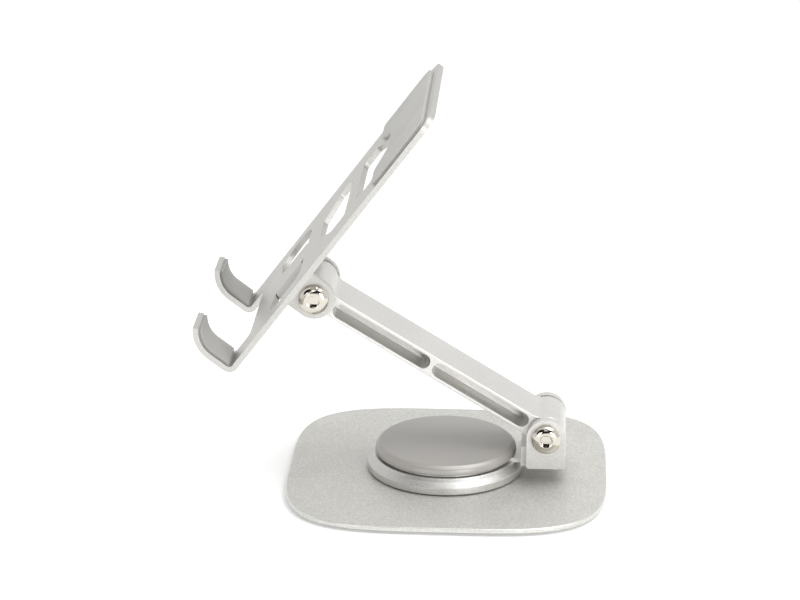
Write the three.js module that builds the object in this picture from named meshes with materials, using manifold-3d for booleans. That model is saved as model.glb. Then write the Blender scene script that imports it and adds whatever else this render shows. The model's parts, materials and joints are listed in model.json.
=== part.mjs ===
// Folding laptop stand: a bent-sheet platform with two hooks, on an arm with a friction hinge
// at each end, on a turntable that swivels on a heavy base plate.
// Millimetres, +Z up. The hooks face -Y, the hinge bracket stands at +Y, and the object is
// symmetric about X = 0 but for the bolt heads and sleeve nuts. The origin is on the swivel axis,
// in the underside of the anti-slip pad.
import * as THREE from "three";
import { mergeVertices } from "three/addons/utils/BufferGeometryUtils.js";
import Module from "manifold-3d";

const wasm = await Module();
wasm.setup();

// ---------- driving dimensions ----------
const GAP = 0.3; // clearance between pieces that touch in the real object

const PLATE_DEPTH = 204; // front to back
const PLATE_WIDTH = 197;
const PLATE_THICK = 3;
const PLATE_EXPONENT = 3.8; // 2 would be an ellipse, and a large number a square
const PLATE_SIDES = 120;
const PLATE_MIDDLE_Y = 1.5; // the turntable sits a little ahead of the plate's middle
const PAD_THICK = 2;
const PAD_INSET = 5;
const PLATE_TOP = PAD_THICK + PLATE_THICK;

const HUB_RADIUS = 13;
const HUB_TOP = 15.8;
const RING_RADIUS = 50.3;
const RING_BOTTOM = PLATE_TOP + 0.7;
const RING_WALL_TOP = PLATE_TOP + 5.3;
const RING_CHAMFER = 3.1;
const RING_SHOULDER = 15.3;
const RING_TOP = 16.3;
const DISC_RADIUS = 45.3;
const DISC_BOTTOM = RING_TOP + 0.1;
const DISC_TOP = 22.8;
const DISC_WALL = 2.1;

const BASE_PIVOT_Y = 64.5; // behind the swivel axis
const BASE_PIVOT_Z = 35.3;
const BRACKET_EAR_RADIUS = 12.4;
const BRACKET_EAR_THICK = 5.5;
const BRACKET_BOTTOM = 14.6;
const BRACKET_WEB = 5.6;
const STOP_WALL_THICK = 3.4; // wall in front of the ears that the arm comes down towards
const STOP_WALL_TOP = 27.5;
const TONGUE_HALF_WIDTH = 15;
const TONGUE_THICK = 3;
const TONGUE_FRONT_Y = 24;
const SCREW_RADIUS = 2;
const SCREW_PLACES = [[-9, 28.5], [9, 28.5], [-9, 36.5], [9, 36.5]];

const ARM_LENGTH = 172; // pivot to pivot
const ARM_WIDTH = 36.5;
const ARM_THICK = 13.6;
const KNUCKLE_RADIUS = 12.2;
const KNUCKLE_FILLET = 9;
const POCKET_HEIGHT = 9.2;
const POCKET_DEPTH = 17;
const POCKET_START = 14.2; // from each pivot
const POCKET_RIB = 3; // rib that parts the two pockets of a side, halfway along the arm
const ARM_BORE = 6.9;

const EAR_INNER = 19.4; // inner face of every ear, from the middle plane
const BUSH_FLANGE_RADIUS = 9;
const BUSH_FLANGE = 0.8;
const BUSH_LENGTH = 12;
const SLEEVE_RADIUS = 4.5;
const EAR_BORE = SLEEVE_RADIUS + GAP;
const BOLT_RADIUS = 3;
const HEAD_RADIUS = 9.5;
const HEAD_HEIGHT = 5;
const SOCKET_FLATS = 7;

const SHEET = 3.5; // thickness of the platform's sheet
const PLATFORM_HALF_WIDTH = 68.5;
const UNDERSIDE = 16.6; // from the top pivot up to the sheet's underside
const PLATFORM_REAR = 149.6; // from the top pivot
const PLATFORM_CENTRE_FRONT = -37;
const HOOK_FACE = -56.2; // outermost face of the hooks
const REAR_CORNER = 13;
const HOOK_WIDTH = 28.5;
const HOOK_STRAIGHT_TOP = 34.5;
const HOOK_CURL_RADIUS = 22.5;
const HOOK_CURL_ANGLE = 58; // degrees that the curl turns back
const HOOK_BEND_RADIUS = 6;
const LEG_FILLET = 4;
const EAR_RADIUS = 13;
const EAR_BEND_RADIUS = 6;
const EAR_HOLE_RADIUS = 16;
const EAR_HOLE_END = 53;
const EAR_RELIEF = 2;
const WINDOW_LENGTH = 29;
const WINDOW_FRONT = 32;
const WINDOW_BAR = 11.2; // bar between the two windows
const WINDOW_WIDE = 38;
const WINDOW_NARROW = 17.5;
const WINDOW_SLANT = 15; // length over which a window widens
const WINDOW_ROUND = 3;
const RUBBER = 2;
const REAR_PAD_FRONT = 93.5;
const REAR_PAD_REAR = 143.6;
const REAR_PAD_HALF_WIDTH = 65;

const ARM_RISE = 31.5; // degrees, arm above horizontal at rest
const OPENING = 84.4; // degrees from the arm to the platform at rest

// ---------- materials ----------
const material = (color, roughness, metalness) =>
  new THREE.MeshStandardMaterial({ color, roughness, metalness });
const SATIN_ALUMINIUM = material(0xc9c8c4, 0.42, 1);
const SPECKLED_STEEL = material(0xbdbcb8, 0.55, 1);
const GREY_RUBBER = material(0x8f8d8b, 0.9, 0);
const BLACK_RUBBER = material(0x2b2b2c, 0.95, 0);
const DISC_PLASTIC = material(0x9a9693, 0.6, 0);
const CHROME = material(0xe6e4e0, 0.12, 1);
const ZINC_STEEL = material(0xa9aaa8, 0.4, 1);
const WHITE_NYLON = material(0xe4e2da, 0.6, 0);

// ---------- solids ----------
const radians = THREE.MathUtils.degToRad;

// A closed three.js geometry as a solid that can be cut and joined.
function solid(geometry) {
  const bare = geometry.clone();
  bare.deleteAttribute("normal");
  bare.deleteAttribute("uv");
  const merged = mergeVertices(bare, 1e-4);
  const vertProperties = merged.attributes.position.array;
  const triVerts = new Uint32Array(merged.index.array);
  return new wasm.Manifold(new wasm.Mesh({ numProp: 3, vertProperties, triVerts }));
}

// The solid back as a three.js geometry.
function geometryOf(made) {
  const { vertProperties, triVerts } = made.getMesh();
  const geometry = new THREE.BufferGeometry();
  geometry.setAttribute("position", new THREE.BufferAttribute(vertProperties, 3));
  geometry.setIndex(new THREE.BufferAttribute(triVerts, 1));
  geometry.computeVertexNormals();
  return geometry;
}

const join = (...parts) => parts.reduce((whole, part) => whole.add(part));
const cut = (body, ...tools) => tools.reduce((rest, tool) => rest.subtract(tool), body);

// A box from its lowest to its highest corner.
function box(low, high) {
  const size = high.map((value, axis) => value - low[axis]);
  const middle = high.map((value, axis) => (value + low[axis]) / 2);
  return solid(new THREE.BoxGeometry(...size).translate(...middle));
}

// The points of an outline without the doubles where two of its curves meet.
function distinct(points) {
  return points.filter((point, i) => point.distanceTo(points[(i + 1) % points.length]) > 1e-3);
}

// An outline and its holes, extruded along Z.
function extruded(shape, depth, curveSegments) {
  const drawn = shape.extractPoints(curveSegments);
  const clean = new THREE.Shape(distinct(drawn.shape));
  clean.holes = drawn.holes.map((hole) => new THREE.Path(distinct(hole)));
  return new THREE.ExtrudeGeometry(clean, { depth, bevelEnabled: false });
}

// A flat outline in X and Y, from one height to another.
function slab(shape, bottom, top, curveSegments = 12) {
  return solid(extruded(shape, top - bottom, curveSegments).translate(0, 0, bottom));
}

// An outline drawn in Y and Z, carried along X from one place to another.
function prism(shape, left, right, curveSegments = 12) {
  const geometry = extruded(shape, right - left, curveSegments);
  return solid(geometry.rotateZ(Math.PI / 2).rotateY(Math.PI / 2).translate(left, 0, 0));
}

// A profile of [radius, height] points turned about Z.
function turned(profile, segments = 64) {
  const points = profile.map(([radius, height]) => new THREE.Vector2(radius, height));
  return solid(new THREE.LatheGeometry(points, segments).rotateX(Math.PI / 2));
}

// A plain cylinder along Z.
const rod = (radius, bottom, top, segments = 32) =>
  turned([[0, bottom], [radius, bottom], [radius, top], [0, top]], segments);

// The same solid with its axis turned from Z to X.
const alongX = (made) => made.rotate([0, 90, 0]);
const rodX = (radius, left, right, segments = 32) => alongX(rod(radius, left, right, segments));

// A polygon with each corner rounded: corners are [x, y, radius].
function roundedPolygon(corners) {
  const shape = new THREE.Shape();
  corners.forEach(([x, y, radius], i) => {
    const before = corners[(i + corners.length - 1) % corners.length];
    const after = corners[(i + 1) % corners.length];
    const here = new THREE.Vector2(x, y);
    const toBefore = new THREE.Vector2(before[0] - x, before[1] - y).normalize();
    const toAfter = new THREE.Vector2(after[0] - x, after[1] - y).normalize();
    const half = toBefore.angleTo(toAfter) / 2;
    const run = radius / Math.tan(half);
    const start = here.clone().addScaledVector(toBefore, run);
    const end = here.clone().addScaledVector(toAfter, run);
    if (i === 0) shape.moveTo(start.x, start.y);
    else shape.lineTo(start.x, start.y);
    if (radius > 0) shape.quadraticCurveTo(x, y, end.x, end.y);
  });
  shape.closePath();
  return shape;
}

// ---------- base ----------
// The plate's outline: a superellipse, so its sides bow a little and its corners are soft.
function plateShape(inset) {
  const points = [];
  for (let i = 0; i < PLATE_SIDES; i++) {
    const turn = (2 * Math.PI * i) / PLATE_SIDES;
    const bowed = (value) => Math.sign(value) * Math.abs(value) ** (2 / PLATE_EXPONENT);
    const x = (PLATE_WIDTH / 2 - inset) * bowed(Math.cos(turn));
    const y = (PLATE_DEPTH / 2 - inset) * bowed(Math.sin(turn));
    points.push(new THREE.Vector2(x, y + PLATE_MIDDLE_Y));
  }
  return new THREE.Shape(points);
}

const basePad = () => slab(plateShape(PAD_INSET), 0, PAD_THICK);

function basePlate() {
  const screwSeat = turned([[0, PAD_THICK - 1], [8.3, PAD_THICK - 1], [8.3, PAD_THICK + 0.6],
    [4.4, PLATE_TOP - 0.4], [4.4, PLATE_TOP + 1], [0, PLATE_TOP + 1]], 28);
  return cut(slab(plateShape(0), PAD_THICK, PLATE_TOP), screwSeat);
}

const swivelHub = () =>
  cut(rod(HUB_RADIUS, PLATE_TOP, HUB_TOP, 32), rod(4.4, PLATE_TOP - 1, HUB_TOP + 1, 24));

const slideWasher = () =>
  cut(rod(46, PLATE_TOP + 0.05, RING_BOTTOM - 0.15, 48), rod(HUB_RADIUS + GAP, PLATE_TOP - 1, RING_BOTTOM));

function swivelScrew() {
  const body = turned([[0, PAD_THICK + 0.1], [7.8, PAD_THICK + 0.1], [7.8, PAD_THICK + 0.4],
    [4, PLATE_TOP - 0.5], [4, 20.3], [0, 20.3]], 28);
  return cut(body, hexPrism(5, PAD_THICK - 1, PAD_THICK + 1.9));
}

const clampWasher = () =>
  cut(rod(18.5, HUB_TOP + 0.1, HUB_TOP + 1.3, 32), rod(4.4, HUB_TOP - 1, HUB_TOP + 3, 24));

const jamNut = () =>
  cut(hexPrism(13, HUB_TOP + 1.4, DISC_TOP - DISC_WALL - 0.4), rod(4.3, HUB_TOP, DISC_TOP, 24));

// A six-sided prism along Z, given by the distance across its flats.
function hexPrism(flats, bottom, top) {
  const geometry = new THREE.CylinderGeometry(flats / Math.sqrt(3), flats / Math.sqrt(3), top - bottom, 6);
  return solid(geometry.rotateX(Math.PI / 2).translate(0, 0, (bottom + top) / 2));
}

// ---------- turntable ----------
function turntableRing() {
  const profile = [
    [HUB_RADIUS + GAP, RING_BOTTOM], [RING_RADIUS - 0.4, RING_BOTTOM],
    [RING_RADIUS, RING_BOTTOM + 0.4], [RING_RADIUS, RING_WALL_TOP],
    [RING_RADIUS - RING_CHAMFER, RING_WALL_TOP + RING_CHAMFER], [DISC_RADIUS + 0.4, RING_SHOULDER],
    [DISC_RADIUS - 2.6, RING_SHOULDER], [DISC_RADIUS - 2.6, RING_TOP],
    [HUB_RADIUS + GAP, RING_TOP], [HUB_RADIUS + GAP, RING_BOTTOM],
  ];
  const washerSeat = rod(19, HUB_TOP - 0.2, RING_TOP + 1, 48);
  const half = TONGUE_HALF_WIDTH + GAP;
  const tongueSeat = box([-half, TONGUE_FRONT_Y - GAP, BRACKET_BOTTOM - GAP], [half, 60, RING_TOP + 1]);
  const holes = SCREW_PLACES.map(([x, y]) => rod(SCREW_RADIUS + GAP, 8.5, RING_TOP + 1, 16).translate([x, y, 0]));
  return cut(turned(profile, 72), washerSeat, tongueSeat, ...holes);
}

function discCover() {
  const profile = [
    [0, DISC_TOP], [DISC_RADIUS - 2.6, DISC_TOP], [DISC_RADIUS - 1.2, DISC_TOP - 0.8],
    [DISC_RADIUS - 0.3, DISC_TOP - 2.1], [DISC_RADIUS, DISC_TOP - 3.4], [DISC_RADIUS, DISC_BOTTOM + 1],
    [DISC_RADIUS - 0.9, DISC_BOTTOM], [DISC_RADIUS - 3.4, DISC_BOTTOM],
    [DISC_RADIUS - 3.4, DISC_TOP - DISC_WALL], [0, DISC_TOP - DISC_WALL],
  ].reverse();
  const half = TONGUE_HALF_WIDTH + GAP;
  const notch = box([-half, 30, DISC_BOTTOM - 1], [half, 60, BRACKET_BOTTOM + TONGUE_THICK + GAP]);
  return cut(turned(profile, 72), notch);
}

// One ear outline in Y and Z about the pivot: round on top, straight sides, square foot.
function bracketEar() {
  const foot = BRACKET_BOTTOM - BASE_PIVOT_Z;
  const shape = new THREE.Shape();
  shape.moveTo(-BRACKET_EAR_RADIUS, 0);
  shape.absarc(0, 0, BRACKET_EAR_RADIUS, Math.PI, 0, true);
  shape.lineTo(BRACKET_EAR_RADIUS, foot + 1);
  shape.lineTo(BRACKET_EAR_RADIUS - 1, foot);
  shape.lineTo(-BRACKET_EAR_RADIUS + 1, foot);
  shape.lineTo(-BRACKET_EAR_RADIUS, foot + 1);
  shape.closePath();
  return shape;
}

function hingeBracket() {
  const outer = EAR_INNER + BRACKET_EAR_THICK;
  const foot = BRACKET_BOTTOM - BASE_PIVOT_Z;
  const block = prism(bracketEar(), -outer, outer, 20);
  const slot = box([-EAR_INNER, -20, foot + BRACKET_WEB], [EAR_INNER, 20, 20]);
  const reach = TONGUE_FRONT_Y - BASE_PIVOT_Y;
  const half = TONGUE_HALF_WIDTH;
  const tongue = slab(roundedPolygon([[-half, reach, 4], [half, reach, 4], [half, 0, 0], [-half, 0, 0]]),
    foot, foot + TONGUE_THICK);
  const holes = SCREW_PLACES.map(([x, y]) =>
    rod(SCREW_RADIUS + GAP, foot - 1, foot + TONGUE_THICK + 1, 16).translate([x, y - BASE_PIVOT_Y, 0]));
  const wall = box([-EAR_INNER - 1, -BRACKET_EAR_RADIUS - STOP_WALL_THICK, foot],
    [EAR_INNER + 1, -BRACKET_EAR_RADIUS + 0.6, STOP_WALL_TOP - BASE_PIVOT_Z]);
  return cut(join(cut(block, slot), tongue, wall), rodX(EAR_BORE, -outer - 1, outer + 1), ...holes);
}

function bracketScrew([x, y]) {
  const under = BRACKET_BOTTOM + TONGUE_THICK + 0.05;
  const body = turned([[0, 9], [SCREW_RADIUS, 9], [SCREW_RADIUS, under], [3.6, under],
    [3.6, under + 1], [3.2, under + 1.4], [0, under + 1.4]], 20);
  return cut(body, hexPrism(2.5, under + 0.3, under + 3)).translate([x, y, 0]);
}

// ---------- hinges ----------
// A domed head along Z: a short rim and a low dome with a flat middle, and a hex socket.
function domedHead() {
  const rim = 1;
  const flat = 4.6;
  const profile = [[0, 0], [HEAD_RADIUS, 0], [HEAD_RADIUS, rim]];
  const steps = 5;
  for (let i = 1; i <= steps; i++) {
    const turn = (Math.PI / 2) * (i / steps);
    profile.push([flat + (HEAD_RADIUS - flat) * Math.cos(turn), rim + (HEAD_HEIGHT - rim) * Math.sin(turn)]);
  }
  profile.push([0, HEAD_HEIGHT]);
  return cut(turned(profile, 28), hexPrism(SOCKET_FLATS, HEAD_HEIGHT - 3, HEAD_HEIGHT + 1));
}

// The bolt comes from +X; its collar centres it in the ear, and its shank screws into the sleeve.
function hingeBolt(earOuter) {
  const seat = earOuter + GAP;
  const collar = rod(SLEEVE_RADIUS, EAR_INNER + 1.5, seat + 0.5, 24);
  const shank = rod(BOLT_RADIUS, -12, EAR_INNER + 2, 20);
  return alongX(join(domedHead().translate([0, 0, seat]), collar, shank));
}

// The sleeve nut comes from -X and runs through both bushes.
function hingeNut(earOuter) {
  const seat = earOuter + GAP;
  const bore = rod(BOLT_RADIUS + GAP, -EAR_INNER - 2, 14, 20);
  const sleeve = cut(rod(SLEEVE_RADIUS, -EAR_INNER - 1, seat + 0.5, 24), bore);
  return alongX(join(domedHead().translate([0, 0, seat]), sleeve)).mirror([1, 0, 0]);
}

// A flanged plastic bush in the arm's bore, on one side; the flange rubs on the ear.
function bush(side) {
  const face = ARM_WIDTH / 2 + 0.15;
  const tube = rod(ARM_BORE - GAP, face - BUSH_LENGTH, face + 0.1, 24);
  const flange = rod(BUSH_FLANGE_RADIUS, face, face + BUSH_FLANGE, 24);
  const made = alongX(cut(join(tube, flange), rod(EAR_BORE, 0, face + 2, 24)));
  return side > 0 ? made : made.mirror([1, 0, 0]);
}

// ---------- arm ----------
// The arm's outline in Y and Z: a straight bar between two knuckles, with a fillet at each neck.
function armShape() {
  const half = ARM_THICK / 2;
  const rise = half + KNUCKLE_FILLET;
  const reach = Math.sqrt((KNUCKLE_RADIUS + KNUCKLE_FILLET) ** 2 - rise ** 2);
  const angle = Math.atan2(rise, reach);
  const far = -ARM_LENGTH;
  const shape = new THREE.Shape();
  shape.absarc(0, 0, KNUCKLE_RADIUS, -Math.PI + angle, Math.PI - angle, false);
  shape.absarc(-reach, rise, KNUCKLE_FILLET, -angle, -Math.PI / 2, true);
  shape.absarc(far + reach, rise, KNUCKLE_FILLET, -Math.PI / 2, -Math.PI + angle, true);
  shape.absarc(far, 0, KNUCKLE_RADIUS, angle, 2 * Math.PI - angle, false);
  shape.absarc(far + reach, -rise, KNUCKLE_FILLET, Math.PI - angle, Math.PI / 2, true);
  shape.absarc(-reach, -rise, KNUCKLE_FILLET, Math.PI / 2, angle, true);
  shape.closePath();
  return shape;
}

// A slot-shaped pocket with round ends, from one place along the arm to another.
function pocketShape(start, end) {
  const radius = POCKET_HEIGHT / 2;
  const near = -start - radius;
  const far = -end + radius;
  const shape = new THREE.Shape();
  shape.absarc(near, 0, radius, -Math.PI / 2, Math.PI / 2, false);
  shape.absarc(far, 0, radius, Math.PI / 2, 1.5 * Math.PI, false);
  shape.closePath();
  return shape;
}

function armBody() {
  const half = ARM_WIDTH / 2;
  const bar = prism(armShape(), -half, half, 12);
  const middle = ARM_LENGTH / 2;
  const spans = [[POCKET_START, middle - POCKET_RIB / 2], [middle + POCKET_RIB / 2, ARM_LENGTH - POCKET_START]];
  const pockets = spans.map(([start, end]) => prism(pocketShape(start, end), half - POCKET_DEPTH, half + 1, 8));
  const bores = [0, -ARM_LENGTH].map((y) => rodX(ARM_BORE, -half - 1, half + 1, 32).translate([0, y, 0]));
  return cut(bar, ...pockets, ...pockets.map((pocket) => pocket.mirror([1, 0, 0])), ...bores);
}

// ---------- platform: X across, Y towards its rear, Z up from the sheet, about the top pivot ----------
// The sheet's outline, flat: two front legs and rounded rear corners.
function sheetShape() {
  const half = PLATFORM_HALF_WIDTH;
  const inner = half - HOOK_WIDTH;
  const front = HOOK_FACE + HOOK_BEND_RADIUS;
  return roundedPolygon([
    [half, front, 0], [half, PLATFORM_REAR, REAR_CORNER], [-half, PLATFORM_REAR, REAR_CORNER],
    [-half, front, 0], [-inner, front, 0], [-inner, PLATFORM_CENTRE_FRONT, LEG_FILLET],
    [inner, PLATFORM_CENTRE_FRONT, LEG_FILLET], [inner, front, 0],
  ]);
}

// A window that is narrow at one edge and slants out to its full width; way says where it widens.
function windowShape(narrowEdge, way) {
  const r = WINDOW_ROUND;
  const slantEnd = narrowEdge + way * WINDOW_SLANT;
  const wideEdge = narrowEdge + way * WINDOW_LENGTH;
  return roundedPolygon([
    [WINDOW_NARROW, narrowEdge, r], [WINDOW_WIDE, slantEnd, r], [WINDOW_WIDE, wideEdge, r],
    [-WINDOW_WIDE, wideEdge, r], [-WINDOW_WIDE, slantEnd, r], [-WINDOW_NARROW, narrowEdge, r],
  ]);
}

// The hole that an ear leaves: a U, open end at the bend, with a relief cut past each end of it.
function earHoleShape() {
  const bend = EAR_INNER + SHEET - EAR_BEND_RADIUS;
  const centre = EAR_HOLE_END - EAR_HOLE_RADIUS;
  const shape = new THREE.Shape();
  shape.moveTo(bend - EAR_RELIEF, -EAR_HOLE_RADIUS);
  shape.absarc(centre, 0, EAR_HOLE_RADIUS, -Math.PI / 2, Math.PI / 2, false);
  shape.lineTo(bend - EAR_RELIEF, EAR_HOLE_RADIUS);
  shape.lineTo(bend - EAR_RELIEF, EAR_RADIUS);
  shape.lineTo(bend, EAR_RADIUS);
  shape.lineTo(bend, -EAR_RADIUS);
  shape.lineTo(bend - EAR_RELIEF, -EAR_RADIUS);
  shape.closePath();
  return shape;
}

// The J of a hook in Y and Z: a bend, a straight rise and a curl, between two offsets of its face.
function hookShape(outset, inset, startAngle, curl) {
  const bendY = HOOK_FACE + HOOK_BEND_RADIUS;
  const bendZ = UNDERSIDE + HOOK_BEND_RADIUS;
  const curlY = HOOK_FACE + HOOK_CURL_RADIUS;
  const end = Math.PI - radians(curl);
  const shape = new THREE.Shape();
  const bendOut = HOOK_BEND_RADIUS - outset;
  const bendIn = HOOK_BEND_RADIUS - inset;
  shape.absarc(bendY, bendZ, bendOut, radians(startAngle), -Math.PI, true);
  shape.absarc(curlY, HOOK_STRAIGHT_TOP, HOOK_CURL_RADIUS - outset, Math.PI, end, true);
  shape.absarc(curlY, HOOK_STRAIGHT_TOP, HOOK_CURL_RADIUS - inset, end, Math.PI, false);
  shape.absarc(bendY, bendZ, bendIn, -Math.PI, radians(startAngle), false);
  shape.closePath();
  return shape;
}

const hookLeft = (side) => (side > 0 ? PLATFORM_HALF_WIDTH - HOOK_WIDTH : -PLATFORM_HALF_WIDTH);

function hook(side) {
  const left = hookLeft(side);
  const bent = prism(hookShape(0, SHEET, -90, HOOK_CURL_ANGLE), left, left + HOOK_WIDTH, 14);
  const root = HOOK_FACE + HOOK_BEND_RADIUS;
  const overlap = box([left, root - 0.01, UNDERSIDE], [left + HOOK_WIDTH, root + 4, UNDERSIDE + SHEET]);
  return join(bent, overlap);
}

// One ear: a quarter bend down from the sheet and a flat tab with a round end and a bore.
function ear(side) {
  const outer = EAR_INNER + SHEET;
  const centreX = outer - EAR_BEND_RADIUS;
  const centreZ = UNDERSIDE + SHEET - EAR_BEND_RADIUS;
  const bend = new THREE.Shape();
  bend.absarc(centreX, centreZ, EAR_BEND_RADIUS, 0, Math.PI / 2, false);
  bend.lineTo(centreX - 0.5, centreZ + EAR_BEND_RADIUS);
  bend.lineTo(centreX - 0.5, UNDERSIDE);
  bend.absarc(centreX, centreZ, EAR_BEND_RADIUS - SHEET, Math.PI / 2, 0, true);
  bend.closePath();
  const depth = 2 * EAR_RADIUS;
  const bentPiece = solid(extruded(bend, depth, 10).rotateX(Math.PI / 2).translate(0, EAR_RADIUS, 0));
  const tab = new THREE.Shape();
  tab.absarc(0, 0, EAR_RADIUS, -Math.PI, 0, false);
  tab.lineTo(EAR_RADIUS, centreZ + 0.01);
  tab.lineTo(-EAR_RADIUS, centreZ + 0.01);
  tab.closePath();
  const made = join(bentPiece, prism(tab, EAR_INNER, outer, 24));
  return side > 0 ? made : made.mirror([1, 0, 0]);
}

function platformSheet() {
  const outer = EAR_INNER + SHEET;
  const through = (shape) => slab(shape, UNDERSIDE - 1, UNDERSIDE + SHEET + 1);
  const windowsEnd = WINDOW_FRONT + 2 * WINDOW_LENGTH + WINDOW_BAR;
  const earHole = through(earHoleShape());
  const flat = cut(slab(sheetShape(), UNDERSIDE, UNDERSIDE + SHEET), through(windowShape(WINDOW_FRONT, 1)),
    through(windowShape(windowsEnd, -1)), earHole, earHole.mirror([1, 0, 0]));
  const whole = join(flat, hook(1), hook(-1), ear(1), ear(-1));
  return cut(whole, rodX(EAR_BORE, -outer - 1, outer + 1));
}

function rearPad() {
  const offset = 4;
  const slantX = WINDOW_WIDE - WINDOW_NARROW;
  const slope = WINDOW_SLANT / slantX;
  const notchRear = WINDOW_FRONT + 2 * WINDOW_LENGTH + WINDOW_BAR + offset;
  const notchHalf = WINDOW_NARROW + offset / 3;
  const frontHalf = notchHalf + (notchRear - REAR_PAD_FRONT) / slope;
  const half = REAR_PAD_HALF_WIDTH;
  const shape = roundedPolygon([
    [half, REAR_PAD_FRONT, 3], [half, REAR_PAD_REAR, 10], [-half, REAR_PAD_REAR, 10],
    [-half, REAR_PAD_FRONT, 3], [-frontHalf, REAR_PAD_FRONT, 2], [-notchHalf, notchRear, 3],
    [notchHalf, notchRear, 3], [frontHalf, REAR_PAD_FRONT, 2],
  ]);
  const bottom = UNDERSIDE + SHEET + GAP;
  return slab(shape, bottom, bottom + RUBBER);
}

// The rubber that lines the inside of a hook, from inside its bend to its tip.
function hookPad(side) {
  const left = hookLeft(side) + 1;
  const shape = hookShape(SHEET + GAP, SHEET + GAP + RUBBER, -150, HOOK_CURL_ANGLE - 0.5);
  return prism(shape, left, left + HOOK_WIDTH - 2, 14);
}

// ---------- assembly ----------
function mesh(name, made, look) {
  const piece = new THREE.Mesh(geometryOf(made), look);
  piece.name = name;
  return piece;
}

const stand = new THREE.Group();

stand.add(
  mesh("base_pad", basePad(), BLACK_RUBBER),
  mesh("base_plate", basePlate(), SPECKLED_STEEL),
  mesh("swivel_hub", swivelHub(), ZINC_STEEL),
  mesh("swivel_screw", swivelScrew(), ZINC_STEEL),
  mesh("slide_washer", slideWasher(), WHITE_NYLON),
  mesh("clamp_washer", clampWasher(), ZINC_STEEL),
  mesh("jam_nut", jamNut(), ZINC_STEEL),
  mesh("turntable_ring", turntableRing(), SATIN_ALUMINIUM),
  mesh("disc_cover", discCover(), DISC_PLASTIC),
);
SCREW_PLACES.forEach((place, i) => stand.add(mesh(`bracket_screw_${i + 1}`, bracketScrew(place), ZINC_STEEL)));

const basePivot = new THREE.Group();
basePivot.position.set(0, BASE_PIVOT_Y, BASE_PIVOT_Z);
const bracketOuter = EAR_INNER + BRACKET_EAR_THICK;
basePivot.add(
  mesh("hinge_bracket", hingeBracket(), SATIN_ALUMINIUM),
  mesh("base_hinge_bolt", hingeBolt(bracketOuter), CHROME),
  mesh("base_hinge_nut", hingeNut(bracketOuter), CHROME),
);
stand.add(basePivot);

const arm = new THREE.Group();
arm.rotation.x = -radians(ARM_RISE);
arm.add(
  mesh("arm", armBody(), SATIN_ALUMINIUM),
  mesh("arm_base_bush_right", bush(1), WHITE_NYLON),
  mesh("arm_base_bush_left", bush(-1), WHITE_NYLON),
);
basePivot.add(arm);

const topPivot = new THREE.Group();
topPivot.position.set(0, -ARM_LENGTH, 0);
topPivot.add(mesh("arm_top_bush_right", bush(1), WHITE_NYLON), mesh("arm_top_bush_left", bush(-1), WHITE_NYLON));
arm.add(topPivot);

const platform = new THREE.Group();
platform.rotation.x = radians(OPENING);
const sheetOuter = EAR_INNER + SHEET;
platform.add(
  mesh("platform", platformSheet(), SATIN_ALUMINIUM),
  mesh("rear_pad", rearPad(), GREY_RUBBER),
  mesh("hook_pad_right", hookPad(1), GREY_RUBBER),
  mesh("hook_pad_left", hookPad(-1), GREY_RUBBER),
  mesh("top_hinge_bolt", hingeBolt(sheetOuter), CHROME),
  mesh("top_hinge_nut", hingeNut(sheetOuter), CHROME),
);
topPivot.add(platform);

export default stand;
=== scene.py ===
"""Folding laptop stand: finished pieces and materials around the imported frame."""

import json
import math

import bmesh
import bpy
from bpy.props import FloatProperty, FloatVectorProperty, PointerProperty
from mathutils import Matrix, Vector


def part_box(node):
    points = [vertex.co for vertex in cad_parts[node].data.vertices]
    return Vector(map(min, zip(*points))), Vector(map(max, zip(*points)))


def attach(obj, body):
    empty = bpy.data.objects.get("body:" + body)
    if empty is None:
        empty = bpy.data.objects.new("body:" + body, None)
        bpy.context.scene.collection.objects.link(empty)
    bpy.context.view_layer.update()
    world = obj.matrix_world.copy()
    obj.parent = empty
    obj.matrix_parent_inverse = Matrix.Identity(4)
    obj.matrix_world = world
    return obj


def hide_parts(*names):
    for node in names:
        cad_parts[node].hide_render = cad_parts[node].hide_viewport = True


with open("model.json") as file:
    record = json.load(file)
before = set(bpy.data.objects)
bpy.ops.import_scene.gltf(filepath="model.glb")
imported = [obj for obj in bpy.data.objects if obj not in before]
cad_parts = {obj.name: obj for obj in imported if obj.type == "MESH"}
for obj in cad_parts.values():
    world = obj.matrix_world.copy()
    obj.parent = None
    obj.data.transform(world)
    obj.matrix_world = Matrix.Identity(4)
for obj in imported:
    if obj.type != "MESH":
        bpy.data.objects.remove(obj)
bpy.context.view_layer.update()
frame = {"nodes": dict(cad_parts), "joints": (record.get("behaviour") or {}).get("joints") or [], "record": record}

bl_info = {
    "name": "Folding Laptop Stand",
    "version": (1, 0, 0),
    "blender": (4, 5, 0),
    "location": "View3D > Sidebar > Laptop Stand",
    "description": "Builds the finished pieces of a folding laptop stand on its packed frame",
    "category": "Object",
}

MM = 0.001
FULL_TURN = 2 * math.pi
X_AXIS, Y_AXIS, Z_AXIS = Vector((1, 0, 0)), Vector((0, 1, 0)), Vector((0, 0, 1))

# ---------- places taken from the frame ----------
JOINTS = {joint["name"]: joint for joint in frame["joints"]}
MOUNTS = {mount["name"]: mount for mount in frame["record"]["mounts"]}
BASE_PIVOT = Vector(JOINTS["arm_tilt"]["pos_m"])
TOP_PIVOT = Vector(JOINTS["platform_tilt"]["pos_m"])
ARM_LENGTH = (TOP_PIVOT - BASE_PIVOT).length
SHEET_NORMAL = Vector(MOUNTS["rear_pad_rest"]["axis"]).normalized()
SHEET_REARWARD = SHEET_NORMAL.cross(X_AXIS)


def placed(origin, forward, upward):
    """The matrix that takes local X, Y and Z to the object's X, forward and upward at origin."""
    turned = Matrix((X_AXIS, forward, upward)).transposed().to_4x4()
    return Matrix.Translation(origin) @ turned


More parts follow.
